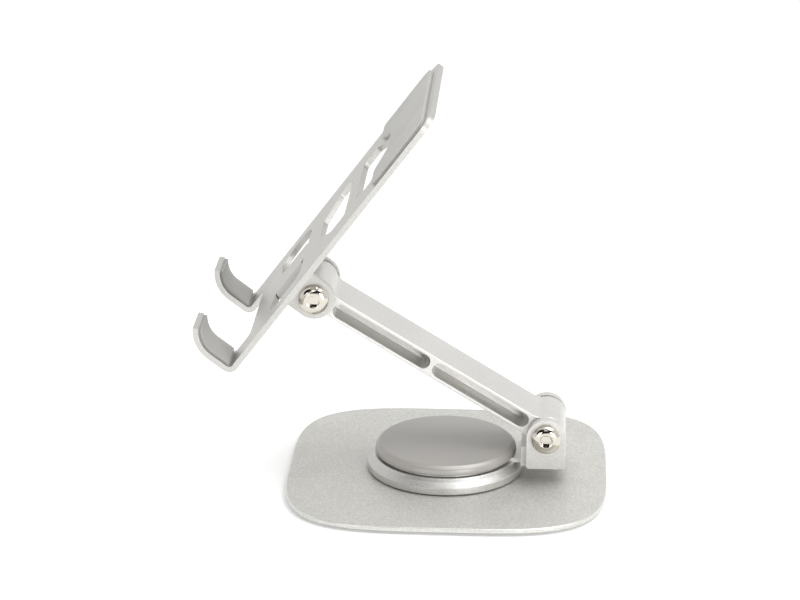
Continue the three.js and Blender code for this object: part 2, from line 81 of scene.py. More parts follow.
PLATFORM_PLACE = placed(TOP_PIVOT, SHEET_REARWARD, SHEET_NORMAL)
ARM_ALONG = (BASE_PIVOT - TOP_PIVOT).normalized()
ARM_PLACE = placed(BASE_PIVOT, ARM_ALONG, X_AXIS.cross(ARM_ALONG))


# ---------- settings ----------
class StandSizes(bpy.types.PropertyGroup):
    """Sizes that only the finished surface has."""

    edge_round: FloatProperty(
        name="Edge rounding", description="Width of the rounding on a metal edge",
        default=0.45 * MM, min=0.05 * MM, max=1.5 * MM, unit="LENGTH")
    sheet_edge: FloatProperty(
        name="Sheet edge", description="Width of the bright chamfer round the platform",
        default=0.55 * MM, min=0.05 * MM, max=1.5 * MM, unit="LENGTH")
    plate_edge: FloatProperty(
        name="Plate edge", description="Width of the bright chamfer round the base plate",
        default=0.7 * MM, min=0.05 * MM, max=1.5 * MM, unit="LENGTH")
    rubber_round: FloatProperty(
        name="Rubber rounding", description="Width of the rounding on a rubber edge",
        default=0.5 * MM, min=0.05 * MM, max=1.0 * MM, unit="LENGTH")


class StandColours(bpy.types.PropertyGroup):
    """Colours of the finishes."""

    aluminium: FloatVectorProperty(
        name="Aluminium", description="Blasted and anodised aluminium", subtype="COLOR",
        size=3, min=0.0, max=1.0, default=(0.70, 0.69, 0.665))
    bright_edge: FloatVectorProperty(
        name="Bright edge", description="Cut edge of the aluminium sheet", subtype="COLOR",
        size=3, min=0.0, max=1.0, default=(0.72, 0.715, 0.685))
    ring: FloatVectorProperty(
        name="Ring", description="Blasted aluminium of the turntable ring", subtype="COLOR",
        size=3, min=0.0, max=1.0, default=(0.58, 0.575, 0.555))
    steel: FloatVectorProperty(
        name="Plate steel", description="Blasted steel of the base plate", subtype="COLOR",
        size=3, min=0.0, max=1.0, default=(0.645, 0.64, 0.61))
    # Painted shade: the arm's aluminium made darker for the bent sheet, standing in for the weaker light on its
    # faces.
    sheet: FloatVectorProperty(
        name="Platform sheet", description="Blasted aluminium of the bent sheet", subtype="COLOR",
        size=3, min=0.0, max=1.0, default=(0.55, 0.54, 0.515))
    # Painted light: the pockets' inside made far paler than the arm's aluminium so the deep pockets look lit.
    pocket: FloatVectorProperty(
        name="Pocket", description="Milled and anodised inside of the arm's pockets", subtype="COLOR",
        size=3, min=0.0, max=1.0, default=(0.93, 0.925, 0.90))
    rubber: FloatVectorProperty(
        name="Pad rubber", description="Grey rubber of the rear pad", subtype="COLOR",
        size=3, min=0.0, max=1.0, default=(0.48, 0.475, 0.455))
    # Painted shade: the rear pad's rubber made darker for the hook pads, standing in for the weaker light on them.
    hook_rubber: FloatVectorProperty(
        name="Hook rubber", description="Grey rubber of the hook pads", subtype="COLOR",
        size=3, min=0.0, max=1.0, default=(0.33, 0.325, 0.31))
    # Painted shade: the dark colour inside the hex sockets stands in for the shade in the recess.
    socket: FloatVectorProperty(
        name="Hex socket", description="Dark inside of the bolts' sockets", subtype="COLOR",
        size=3, min=0.0, max=1.0, default=(0.36, 0.28, 0.19))
    # Partly the foam tape's own dark brown, partly painted shade under the pads' rims.
    adhesive: FloatVectorProperty(
        name="Adhesive", description="Dark foam tape under the rubber pads", subtype="COLOR",
        size=3, min=0.0, max=1.0, default=(0.075, 0.058, 0.045))
    base_rubber: FloatVectorProperty(
        name="Base rubber", description="Rubber of the anti-slip pad", subtype="COLOR",
        size=3, min=0.0, max=1.0, default=(0.26, 0.26, 0.255))
    disc: FloatVectorProperty(
        name="Disc cover", description="Warm grey plastic of the disc cover", subtype="COLOR",
        size=3, min=0.0, max=1.0, default=(0.37, 0.355, 0.335))
    chrome: FloatVectorProperty(
        name="Chrome", description="Polished plating of the hinge bolts", subtype="COLOR",
        size=3, min=0.0, max=1.0, default=(0.62, 0.585, 0.52))
    zinc: FloatVectorProperty(
        name="Zinc", description="Plating of the hidden screws and washers", subtype="COLOR",
        size=3, min=0.0, max=1.0, default=(0.52, 0.52, 0.51))
    nylon: FloatVectorProperty(
        name="Nylon", description="Plastic of the bushes and the slide washer", subtype="COLOR",
        size=3, min=0.0, max=1.0, default=(0.78, 0.77, 0.73))


def sizes():
    """The scene's sizes, as the panel shows them."""
    return bpy.context.scene.stand_sizes


def colours():
    """The scene's colours, as the panel shows them."""
    return bpy.context.scene.stand_colours


# ---------- material building ----------
class Shader:
    """One material's node tree, with its Principled shader and short ways to add nodes."""

    NOISE_LOW, NOISE_HIGH = 0.3, 0.7  # nearly all of a noise's values lie between these

    def __init__(self, name):
        self.material = bpy.data.materials.new(name)
        self.material.use_nodes = True
        self.nodes = self.material.node_tree.nodes
        self.links = self.material.node_tree.links
        self.principled = self.nodes["Principled BSDF"]
        self.place = self.nodes.new("ShaderNodeTexCoord").outputs["Object"]

    def add(self, kind, **inputs):
        """A new node with its named inputs set; an underscore stands for a space."""
        node = self.nodes.new(kind)
        for name, value in inputs.items():
            node.inputs[name.replace("_", " ")].default_value = value
        return node

    def noise(self, size_mm, detail=3.0, roughness=0.5, distortion=0.0):
        """Noise whose features are about size_mm across."""
        node = self.add("ShaderNodeTexNoise", Scale=1000.0 / size_mm, Detail=detail,
                        Roughness=roughness, Distortion=distortion)
        self.links.new(self.place, node.inputs["Vector"])
        return node.outputs["Fac"]

    def remap(self, value, low, high):
        """A noise value spread over the range from low to high."""
        node = self.add("ShaderNodeMapRange", From_Min=self.NOISE_LOW, From_Max=self.NOISE_HIGH,
                        To_Min=low, To_Max=high)
        self.links.new(value, node.inputs["Value"])
        return node.outputs["Result"]

    def tinted(self, value, colour, dark, light):
        """The colour made darker or lighter by a noise value."""
        ramp = self.nodes.new("ShaderNodeValToRGB")
        stops = ramp.color_ramp.elements
        for stop, position, factor in zip(stops, (self.NOISE_LOW, self.NOISE_HIGH), (dark, light)):
            stop.position = position
            stop.color = (*(min(channel * factor, 1.0) for channel in colour), 1)
        self.links.new(value, ramp.inputs["Fac"])
        return ramp.outputs["Color"]

    def multiplied(self, first, second):
        """Two colours multiplied; the sockets are found by identifier, as their names repeat."""
        node = self.nodes.new("ShaderNodeMix")
        node.data_type = "RGBA"
        node.blend_type = "MULTIPLY"
        sockets = {socket.identifier: socket for socket in (*node.inputs, *node.outputs)}
        sockets["Factor_Float"].default_value = 1.0
        self.links.new(first, sockets["A_Color"])
        self.links.new(second, sockets["B_Color"])
        return sockets["Result_Color"]

    def bump(self, height, distance_mm, strength):
        """A normal raised and lowered by a noise value."""
        node = self.add("ShaderNodeBump", Distance=distance_mm * MM, Strength=strength)
        self.links.new(height, node.inputs["Height"])
        return node.outputs["Normal"]

    def finish(self, colour=None, roughness=None, normal=None, **constants):
        """Sets the Principled shader's constant inputs, links the others, and gives the material."""
        for name, value in constants.items():
            self.principled.inputs[name.replace("_", " ")].default_value = value
        for name, link in (("Base Color", colour), ("Roughness", roughness), ("Normal", normal)):
            if link:
                self.links.new(link, self.principled.inputs[name])
        return self.material


def material(make):
    """A maker's material, made once; its ending keeps it apart from the frame's own materials."""
    name = f"{make.__name__}_look"
    return bpy.data.materials.get(name) or make(name)


def satin_metal(name, base):
    """Fine bead-blasted aluminium: an even satin with a grain of about a millimetre."""
    shader = Shader(name)
    grain = shader.noise(1.1, detail=4.0, roughness=0.65)
    cloud = shader.noise(38.0, detail=2.0)
    colour = shader.tinted(grain, base, 0.90, 1.09)
    handled = shader.tinted(cloud, (1, 1, 1), 0.97, 1.0)
    return shader.finish(
        colour=shader.multiplied(colour, handled),
        roughness=shader.remap(cloud, 0.40, 0.48),
        normal=shader.bump(grain, 0.02, 0.35),
        Metallic=0.92)


def blasted_aluminium(name):
    """The finish of the arm and the hinge bracket."""
    return satin_metal(name, colours().aluminium)


def sheet_aluminium(name):
    """The finish of the bent sheet: the arm's satin aluminium with painted shade, darker to stand in for the
    weaker light on the sheet.
    """
    return satin_metal(name, colours().sheet)


def milled_pocket(name):
    """The inside of the arm's pockets with painted light: far paler than the arm so the deep pockets look lit,
    with faint cutter marks.
    """
    shader = Shader(name)
    marks = shader.noise(1.4, detail=3.0, distortion=0.4)
    return shader.finish(
        colour=shader.tinted(marks, colours().pocket, 0.97, 1.02),
        roughness=shader.remap(marks, 0.30, 0.38),
        normal=shader.bump(marks, 0.02, 0.3),
        Metallic=0.85)


def turned_aluminium(name):
    """The ring's coarser blast: a sparkling grain of about a millimetre on a darker ground."""
    shader = Shader(name)
    grain = shader.noise(1.4, detail=4.0, roughness=0.65)
    return shader.finish(
        colour=shader.tinted(grain, colours().ring, 0.88, 1.12),
        roughness=shader.remap(grain, 0.38, 0.48),
        normal=shader.bump(grain, 0.03, 0.35),
        Metallic=0.95)


def bright_edge(name):
    """The cut and lightly polished chamfer along the edges of the aluminium."""
    shader = Shader(name)
    fine = shader.noise(0.5, detail=2.0)
    return shader.finish(
        colour=shader.tinted(fine, colours().bright_edge, 0.97, 1.02),
        roughness=shader.remap(fine, 0.26, 0.36),
        normal=shader.bump(fine, 0.01, 0.2),
        Metallic=0.9)


def speckled_steel(name):
    """Sand-blasted steel with a fine bright and dark speckle."""
    shader = Shader(name)
    speckle = shader.noise(1.5, detail=4.0, roughness=0.65)
    cloud = shader.noise(30.0, detail=2.0)
    colour = shader.tinted(speckle, colours().steel, 0.82, 1.14)
    patch = shader.tinted(cloud, (1, 1, 1), 0.96, 1.0)
    return shader.finish(
        colour=shader.multiplied(colour, patch),
        roughness=shader.remap(speckle, 0.46, 0.62),
        normal=shader.bump(speckle, 0.05, 0.45),
        Metallic=0.75)


def moulded_rubber(name, base):
    """Matte moulded silicone with a very fine texture."""
    shader = Shader(name)
    skin = shader.noise(0.5, detail=3.0)
    cloud = shader.noise(22.0, detail=2.0)
    return shader.finish(
        colour=shader.tinted(cloud, base, 0.96, 1.03),
        roughness=shader.remap(skin, 0.72, 0.86),
        normal=shader.bump(skin, 0.03, 0.4),
        Metallic=0.0)


def grey_rubber(name):
    """The rear pad's rubber."""
    return moulded_rubber(name, colours().rubber)


def hook_rubber(name):
    """The hook pads' rubber: the rear pad's rubber with painted shade, darker to stand in for the weaker light on
    the hook pads.
    """
    return moulded_rubber(name, colours().hook_rubber)


def foam_tape(name):
    """The adhesive foam under each pad, partly its own dark brown and partly painted shade of the gap under the
    pad's rim, showing as a dark line round each pad.
    """
    shader = Shader(name)
    pores = shader.noise(0.6, detail=4.0, roughness=0.6)
    return shader.finish(
        colour=shader.tinted(pores, colours().adhesive, 0.8, 1.25),
        roughness=shader.remap(pores, 0.8, 0.95),
        normal=shader.bump(pores, 0.05, 0.5),
        Metallic=0.0)


def base_rubber(name):
    """The anti-slip sheet under the plate."""
    return moulded_rubber(name, colours().base_rubber)


def disc_plastic(name):
    """Warm grey satin plastic with a soft-touch skin and faint rub marks."""
    shader = Shader(name)
    skin = shader.noise(0.4, detail=2.0)
    cloud = shader.noise(26.0, detail=3.0)
    return shader.finish(
        colour=shader.tinted(cloud, colours().disc, 0.96, 1.04),
        roughness=shader.remap(cloud, 0.36, 0.46),
        normal=shader.bump(skin, 0.015, 0.35),
        Metallic=0.35, Coat_Weight=0.2, Coat_Roughness=0.35)


def polished_chrome(name):
    """Bright plating with a faint ripple and hairline wear."""
    shader = Shader(name)
    ripple = shader.noise(2.2, detail=1.0)
    wear = shader.noise(0.6, detail=5.0, roughness=0.7)
    return shader.finish(
        colour=shader.tinted(wear, colours().chrome, 0.97, 1.02),
        roughness=shader.remap(wear, 0.06, 0.13),
        normal=shader.bump(ripple, 0.02, 0.25),
        Metallic=1.0)


def socket_steel(name):
    """The inside of a hex socket with painted shade: dark so the recess looks shaded, with a broached grain."""
    shader = Shader(name)
    broach = shader.noise(0.8, detail=4.0)
    return shader.finish(
        colour=shader.tinted(broach, colours().socket, 0.7, 1.3),
        roughness=shader.remap(broach, 0.25, 0.45),
        normal=shader.bump(broach, 0.03, 0.4),
        Metallic=1.0)


def zinc_plate(name):
    """Dull zinc plating with a mottled tone."""
    shader = Shader(name)
    mottle = shader.noise(2.5, detail=4.0)
    return shader.finish(
        colour=shader.tinted(mottle, colours().zinc, 0.85, 1.1),
        roughness=shader.remap(mottle, 0.32, 0.5),
        normal=shader.bump(mottle, 0.02, 0.3),
        Metallic=1.0)


def white_nylon(name):
    """Natural nylon with a faintly uneven skin."""
    shader = Shader(name)
    skin = shader.noise(0.8, detail=3.0)
    return shader.finish(
        colour=shader.tinted(skin, colours().nylon, 0.95, 1.03),
        roughness=shader.remap(skin, 0.45, 0.6),
        normal=shader.bump(skin, 0.02, 0.3),
        Metallic=0.0)


# ---------- mesh building ----------
WELD = 1e-6  # metres within which two points are one
FULL_CIRCLE = 360


class Pen:
    """Draws an outline in one plane with extrude and spin, about the plane's own axis."""

    PLANES = {
        "XY": (lambda a, b: Vector((a, b, 0)), Z_AXIS),
        "YZ": (lambda a, b: Vector((0, a, b)), X_AXIS),
        "XZ": (lambda a, b: Vector((a, 0, b)), -Y_AXIS),
    }

    def __init__(self, plane, a, b):
        self.point, self.axis = self.PLANES[plane]
        self.mesh = bmesh.new()
        self.tip = self.mesh.verts.new(self.point(a * MM, b * MM))

    def line(self, a, b):
        """Draws a straight edge from the tip to (a, b)."""
        new = bmesh.ops.extrude_vert_indiv(self.mesh, verts=[self.tip])["verts"][0]
        new.co = self.point(a * MM, b * MM)
        self.tip = new
        return self

    def arc(self, a, b, degrees, steps=16):
        """Turns the tip about (a, b), anticlockwise where degrees is positive."""
        made = bmesh.ops.spin(
            self.mesh, geom=[self.tip], cent=self.point(a * MM, b * MM), axis=self.axis,
            angle=math.radians(degrees), steps=steps, use_merge=False)
        self.tip = next(part for part in made["geom_last"] if isinstance(part, bmesh.types.BMVert))
        return self

    def fill(self):
        """Closes the outline on itself and fills it with one face."""
        bmesh.ops.remove_doubles(self.mesh, verts=self.mesh.verts, dist=WELD)
        ends = [vert for vert in self.mesh.verts if len(vert.link_edges) == 1]
        if ends:
            bmesh.ops.contextual_create(self.mesh, geom=ends)
        bmesh.ops.contextual_create(self.mesh, geom=self.mesh.edges[:])
        return self.mesh


def thicken(mesh, along):
    """Extrudes the mesh's one face along a vector given in millimetres."""
    made = bmesh.ops.extrude_face_region(mesh, geom=mesh.faces[:])
    new = [part for part in made["geom"] if isinstance(part, bmesh.types.BMVert)]
    bmesh.ops.translate(mesh, vec=Vector(along) * MM, verts=new)
    bmesh.ops.recalc_face_normals(mesh, faces=mesh.faces)
    return mesh


def moved(mesh, offset):
    """The same bmesh, moved by a vector given in millimetres."""
    bmesh.ops.translate(mesh, vec=Vector(offset) * MM, verts=mesh.verts)
    return mesh


def lathe(points, steps):
    """A profile of (radius, height) points in millimetres, spun about Z into a closed solid."""
    pen = Pen("XZ", *points[0])
    for point in points[1:]:
        pen.line(*point)
    mesh = pen.mesh
    bmesh.ops.remove_doubles(mesh, verts=mesh.verts, dist=WELD)
    bmesh.ops.spin(mesh, geom=mesh.verts[:] + mesh.edges[:], cent=(0, 0, 0), axis=Z_AXIS,
                   angle=FULL_TURN, steps=steps, use_merge=True)
    bmesh.ops.remove_doubles(mesh, verts=mesh.verts, dist=WELD)
    bmesh.ops.recalc_face_normals(mesh, faces=mesh.faces)
    return mesh


def rounded_profile(points, radius, segments=3):
    """Lathe points with every corner but the first and last cut back by a short curve."""
    most = 0.45  # share of a side that one corner may use
    smooth = [points[0]]
    for previous, corner, following in zip(points, points[1:], points[2:]):
        here = Vector(corner)
        before, after = Vector(previous) - here, Vector(following) - here
        run = min(radius, before.length * most, after.length * most)
        start, end = here + before.normalized() * run, here + after.normalized() * run
        for step in range(segments + 1):
            t = step / segments
            point = start * (1 - t) ** 2 + here * 2 * t * (1 - t) + end * t ** 2
            smooth.append((point.x, point.y))
    return smooth + [points[-1]]


def link(name, data):
    """A new object in the scene, holding a mesh, light or camera."""
    piece = bpy.data.objects.new(name, data)
    bpy.context.scene.collection.objects.link(piece)
    return piece


def piece_from(name, mesh, place=None):
    """Turns a bmesh into an object at the origin, with its place in its mesh."""
    if place is not None:
        bmesh.ops.transform(mesh, matrix=place, verts=mesh.verts)
    data = bpy.data.meshes.new(name)
    mesh.to_mesh(data)
    mesh.free()
    return link(name, data)


def joined(*meshes):
    """Several bmeshes as one, without joining their surfaces."""
    whole = bmesh.new()
    for mesh in meshes:
        data = bpy.data.meshes.new("part")
        mesh.to_mesh(data)
        whole.from_mesh(data)
        bpy.data.meshes.remove(data)
        mesh.free()
    return whole


def give_looks(piece, looks):
    """Puts materials in the piece's slots, in their order."""
    piece.data.materials.clear()
    for look in looks:
        piece.data.materials.append(look)


def marked(mesh, number):
    """The same bmesh with every face in the numbered material slot."""
    for face in mesh.faces:
        face.material_index = number
    return mesh


def carve(piece, *cutters, looks=()):
    """Cuts each cutter bmesh out of the piece; the cut faces take the cutter's material numbers."""
    for number, cutter in enumerate(cutters):
        tool = piece_from(f"{piece.name}_tool_{number}", cutter)
        give_looks(tool, looks)
        boolean = piece.modifiers.new("carve", "BOOLEAN")
        boolean.object = tool
        boolean.operation = "DIFFERENCE"
        boolean.solver = "EXACT"
        depsgraph = bpy.context.evaluated_depsgraph_get()
        result = bpy.data.meshes.new_from_object(piece.evaluated_get(depsgraph))
        piece.modifiers.clear()
        old = piece.data
        piece.data = result
        bpy.data.meshes.remove(old)
        bpy.data.objects.remove(tool)
    return piece


def merged_copy(node, name):
    """A copy of a CAD node with its loose triangles merged and its flat faces made whole."""
    flat_within = math.radians(0.4)
    mesh = bmesh.new()
    mesh.from_mesh(frame["nodes"][node].data)
    bmesh.ops.remove_doubles(mesh, verts=mesh.verts, dist=2 * WELD)
    bmesh.ops.dissolve_limit(mesh, angle_limit=flat_within, verts=mesh.verts, edges=mesh.edges)
    return piece_from(name, mesh)


def dress(piece, body, nodes, looks, rounding=0.0, angle=32.0, segments=2, edge_look=-1):
    """Gives a piece its place in the object, its materials, smooth shading and rounded edges.

    Edges sharper than the angle, in degrees, stay sharp or are rounded; edge_look is the slot
    of the rounding's own material, where -1 keeps the material beside it.
    """
    give_looks(piece, looks)
    for face in piece.data.polygons:
        face.use_smooth = True
        face.material_index = min(face.material_index, len(looks) - 1)
    piece.data.set_sharp_from_angle(angle=math.radians(angle))
    if rounding:
        bevel = piece.modifiers.new("edge rounding", "BEVEL")
        bevel.width = rounding
        bevel.segments = segments
        bevel.profile = 0.5
        bevel.limit_method = "ANGLE"
        bevel.angle_limit = math.radians(angle)
        bevel.material = edge_look
        bevel.harden_normals = True
    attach(piece, body)
    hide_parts(*nodes)


def repaint(node, look):
    """Gives a CAD node that stays a finished material."""
    give_looks(frame["nodes"][node], [look])


# ---------- base ----------
PLATE_EXPONENT = 3.8  # 2 is an ellipse, and higher is squarer


def plate_mesh(node, sides):
    """A superellipse slab that fills a node's box."""
    low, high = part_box(node)
    middle, half = (low + high) / 2, (high - low) / 2
    mesh = bmesh.new()
    bmesh.ops.create_circle(mesh, cap_ends=True, segments=sides, radius=1.0)
    for vert in mesh.verts:
        turn = math.atan2(vert.co.y, vert.co.x)
        bowed = [math.copysign(abs(value) ** (2 / PLATE_EXPONENT), value)
                 for value in (math.cos(turn), math.sin(turn))]
        vert.co = (middle.x + half.x * bowed[0], middle.y + half.y * bowed[1], low.z)
    return thicken(mesh, (0, 0, (high.z - low.z) / MM))


class STAND_OT_base(bpy.types.Operator):
    """Builds the base plate, its anti-slip pad and the hidden swivel parts"""

    bl_idname = "stand.base"
    bl_label = "Base"

    def execute(self, context):
        plate = piece_from("plate", plate_mesh("base_plate", sides=240))
        dress(plate, "base", ["base_plate"],
              [material(speckled_steel), material(bright_edge)],
              rounding=sizes().plate_edge, angle=50, segments=3, edge_look=1)
        pad = piece_from("anti_slip_pad", plate_mesh("base_pad", sides=160))
        dress(pad, "base", ["base_pad"], [material(base_rubber)],
              rounding=sizes().rubber_round, angle=50)
        for node in ("swivel_hub", "swivel_screw", "clamp_washer", "jam_nut"):
            repaint(node, material(zinc_plate))
        repaint("slide_washer", material(white_nylon))
        return {"FINISHED"}


# ---------- turntable ----------
def ring_profile():
    """The ring's section: wall, wide chamfer, shoulder and the seat of the disc cover."""
    low, high = (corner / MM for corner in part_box("turntable_ring"))
    outer, bottom, top = high.x, low.z, high.z
    bore, foot, wall, chamfer = 13.3, 0.5, 4.6, 3.1
    groove_outer, groove_inner, groove_floor, seat = 45.8, 42.8, top - 1.0, top - 0.4
    return [
        (bore, bottom), (outer - foot, bottom), (outer, bottom + foot), (outer, bottom + wall),
        (outer - chamfer, bottom + wall + chamfer), (groove_outer, groove_floor),
        (groove_inner, groove_floor), (groove_inner, seat), (bore, seat), (bore, bottom),
    ]


def disc_profile():
    """The disc cover's section: undercut wall, rounded rim, flat top and hollow underside."""
    low, high = (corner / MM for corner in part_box("disc_cover"))
    outer, bottom, top = high.x, low.z, high.z
    ceiling, skirt = top - 2.1, outer - 3.4
    section = [(0, ceiling), (skirt, ceiling), (skirt, bottom), (outer - 0.9, bottom),
               (outer, bottom + 1.0), (outer - 0.35, top - 2.3), (outer - 3.0, top), (0, top)]
    return rounded_profile(section, 1.1, segments=5)


def block(low, high):
    """A plain box between two corners in millimetres, used as a cutter."""
    mesh = bmesh.new()
    bmesh.ops.create_cube(mesh, size=1.0)
    size = [(b - a) * MM for a, b in zip(low, high)]
    bmesh.ops.scale(mesh, vec=size, verts=mesh.verts)
    return moved(mesh, [(a + b) / 2 for a, b in zip(low, high)])


class STAND_OT_turntable(bpy.types.Operator):
    """Builds the turntable ring, the disc cover and the hinge bracket"""

    bl_idname = "stand.turntable"
    bl_label = "Turntable"

    def execute(self, context):
        ring = piece_from("ring", lathe(rounded_profile(ring_profile(), 0.18), steps=160))
        dress(ring, "turntable", ["turntable_ring"],
              [material(turned_aluminium)], angle=24)
        disc = piece_from("disc", lathe(disc_profile(), steps=160))
        low, _ = (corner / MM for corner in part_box("disc_cover"))
        notch_half, notch_front, notch_rear = 15.3, 30, 60  # clears the bracket's tongue
        carve(disc, block((-notch_half, notch_front, low.z - 1), (notch_half, notch_rear, low.z + 1.5)))
        dress(disc, "turntable", ["disc_cover"], [material(disc_plastic)],
              rounding=0.15 * MM, angle=40)
        bracket = merged_copy("hinge_bracket", "bracket")
        dress(bracket, "turntable", ["hinge_bracket"],
              [material(blasted_aluminium), material(bright_edge)],
              rounding=sizes().edge_round, edge_look=1)
        for number in range(1, 5):
            repaint(f"bracket_screw_{number}", material(zinc_plate))
        return {"FINISHED"}


# ---------- hinge bolts ----------
HEAD_RADIUS, HEAD_HEIGHT, SHANK_RADIUS, SHANK_LENGTH = 9.5, 5.0, 4.5, 30.0
SOCKET_FLATS, SOCKET_DEPTH = 7.0, 3.0


def head_profile():
    """A domed head on its shank, along Z from the head's seat at 0."""
    flat, nick, rim = 4.5, 0.3, 0.9  # the head's flat top, small chamfers and upright rim
    profile = [(0, -SHANK_LENGTH), (SHANK_RADIUS - nick, -SHANK_LENGTH),
               (SHANK_RADIUS, nick - SHANK_LENGTH), (SHANK_RADIUS, 0),
               (HEAD_RADIUS - nick, 0), (HEAD_RADIUS, nick), (HEAD_RADIUS, rim)]
    steps = 10
    for step in range(1, steps + 1):
        turn = math.pi / 2 * step / steps
        profile.append((flat + (HEAD_RADIUS - flat) * math.cos(turn),
                        rim + (HEAD_HEIGHT - rim) * math.sin(turn)))
    return profile + [(0, HEAD_HEIGHT)]


def cone(segments, low_radius, high_radius, bottom, top):
    """A closed cone, or a prism, about Z between two heights."""
    mesh = bmesh.new()
    bmesh.ops.create_cone(mesh, cap_ends=True, segments=segments, radius1=low_radius * MM,
                          radius2=high_radius * MM, depth=(top - bottom) * MM)
    return moved(mesh, (0, 0, (bottom + top) / 2))


def hex_socket():
    """The cutter for the hexagon in a head."""
    corner = SOCKET_FLATS / math.sqrt(3)
    return cone(6, corner, corner, HEAD_HEIGHT - SOCKET_DEPTH, HEAD_HEIGHT + 1.0)


def countersink():
    """The cutter for the shallow cone at the mouth of the hexagon."""
    return cone(48, 3.5, 4.7, HEAD_HEIGHT - 0.35, HEAD_HEIGHT + 0.4)


def hinge_fastener(name, node, pivot, body, side):
    """A bolt from the right, or its sleeve nut from the left, with a hex socket in its head."""
    low, high = (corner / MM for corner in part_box(node))
    seat = (high.x if side > 0 else -low.x) - HEAD_HEIGHT
    piece = piece_from(name, lathe(head_profile(), steps=72))
    # The second look paints shade into the hex socket.
    looks = [material(polished_chrome), material(socket_steel)]
    give_looks(piece, looks)
    carve(piece, marked(hex_socket(), 1), countersink(), looks=looks)
    turned = Matrix.Rotation(side * math.pi / 2, 4, "Y")
    shift = Matrix.Translation(Vector((side * seat * MM, pivot.y, pivot.z)))
    piece.data.transform(shift @ turned)
    dress(piece, body, [node], looks, rounding=0.18 * MM, angle=35)


class STAND_OT_hinges(bpy.types.Operator):
    """Builds the bolts and sleeve nuts of both tilt hinges and finishes the bushes"""

    bl_idname = "stand.hinges"
    bl_label = "Hinges"

    def execute(self, context):
        for hinge, pivot, body in (("base_hinge", BASE_PIVOT, "turntable"),
                                   ("top_hinge", TOP_PIVOT, "platform")):
            hinge_fastener(f"{hinge}_dome_bolt", f"{hinge}_bolt", pivot, body, 1)
            hinge_fastener(f"{hinge}_sleeve_nut", f"{hinge}_nut", pivot, body, -1)
        for end in ("base", "top"):
            for side in ("right", "left"):
                repaint(f"arm_{end}_bush_{side}", material(white_nylon))
        return {"FINISHED"}


# ---------- arm ----------
ARM_THICK, KNUCKLE_RADIUS, KNUCKLE_FILLET, BORE_RADIUS = 13.6, 12.2, 9.0, 6.9
POCKET_DEPTH, POCKET_START, POCKET_RIB, POCKET_HEIGHT = 17.0, 14.2, 3.0, 9.2


def slot_mesh(start, end, height, width):
    """A slot with round ends, along Y, centred on X."""
    radius = height / 2
    pen = Pen("YZ", start + radius, -radius).line(end - radius, -radius)
    pen.arc(end - radius, 0, 180, steps=16).line(start + radius, radius)
    pen.arc(start + radius, 0, 180, steps=16)
    return moved(thicken(pen.fill(), (width, 0, 0)), (-width / 2, 0, 0))


def arm_mesh(length, width):
    """The bar between its two knuckles, from the base pivot at 0 to the top pivot at -length."""
    half = ARM_THICK / 2
    rise = half + KNUCKLE_FILLET
    reach = math.sqrt((KNUCKLE_RADIUS + KNUCKLE_FILLET) ** 2 - rise ** 2)
    lean = math.degrees(math.atan2(rise, reach))
    across = math.radians(lean)
    round_knuckle = FULL_CIRCLE - 2 * lean
    pen = Pen("YZ", -KNUCKLE_RADIUS * math.cos(across), -KNUCKLE_RADIUS * math.sin(across))
    pen.arc(0, 0, round_knuckle, steps=48)
    pen.arc(-reach, rise, -(90 - lean), steps=8)
    pen.line(-length + reach, half)
    pen.arc(-length + reach, rise, -(90 - lean), steps=8)
    pen.arc(-length, 0, round_knuckle, steps=48)
    pen.arc(-length + reach, -rise, -(90 - lean), steps=8)
    pen.line(-reach, -half)
    pen.arc(-reach, -rise, -(90 - lean), steps=8)
    return moved(thicken(pen.fill(), (width, 0, 0)), (-width / 2, 0, 0))


class STAND_OT_arm(bpy.types.Operator):
    """Builds the arm with its two pockets on each side"""

    bl_idname = "stand.arm"
    bl_label = "Arm"

    def execute(self, context):
        low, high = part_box("arm")
        width = (high.x - low.x) / MM
        length = ARM_LENGTH / MM
        arm = piece_from("arm_bar", arm_mesh(length, width))
        spans = ((-(length - POCKET_RIB) / 2, -POCKET_START),
                 (-length + POCKET_START, -(length + POCKET_RIB) / 2))
        # The third look paints light into the pockets.
        looks = [material(blasted_aluminium), material(bright_edge), material(milled_pocket)]
        give_looks(arm, looks)
        for side in (1, -1):
            for start, end in spans:
                pocket = marked(slot_mesh(start, end, POCKET_HEIGHT, 2 * POCKET_DEPTH), 2)
                carve(arm, moved(pocket, (side * width / 2, 0, 0)), looks=looks)
        for place in (0, -length):
            bore = Pen("YZ", place + BORE_RADIUS, 0).arc(place, 0, FULL_CIRCLE, steps=48)
            carve(arm, moved(thicken(bore.fill(), (width + 4, 0, 0)), (-width / 2 - 2, 0, 0)))
        arm.data.transform(ARM_PLACE)
        dress(arm, "arm", ["arm"], looks, rounding=sizes().edge_round, edge_look=1)
        return {"FINISHED"}


# ---------- platform ----------
# The hook's side view in millimetres: the outer face's bend, its upright's top and its curl.
HOOK_BEND, HOOK_RISE, HOOK_CURL = 6.0, 34.5, 22.5
SHEET_UNDERSIDE = 16.6  # above the top hinge's axis
WINDOW_END = 101.2  # how far behind that axis the rear window reaches
PAD_CORNERS = [3, 4, 10, 10, 4, 3, 3, 3]  # the rear pad's corner radii, in its outline's order


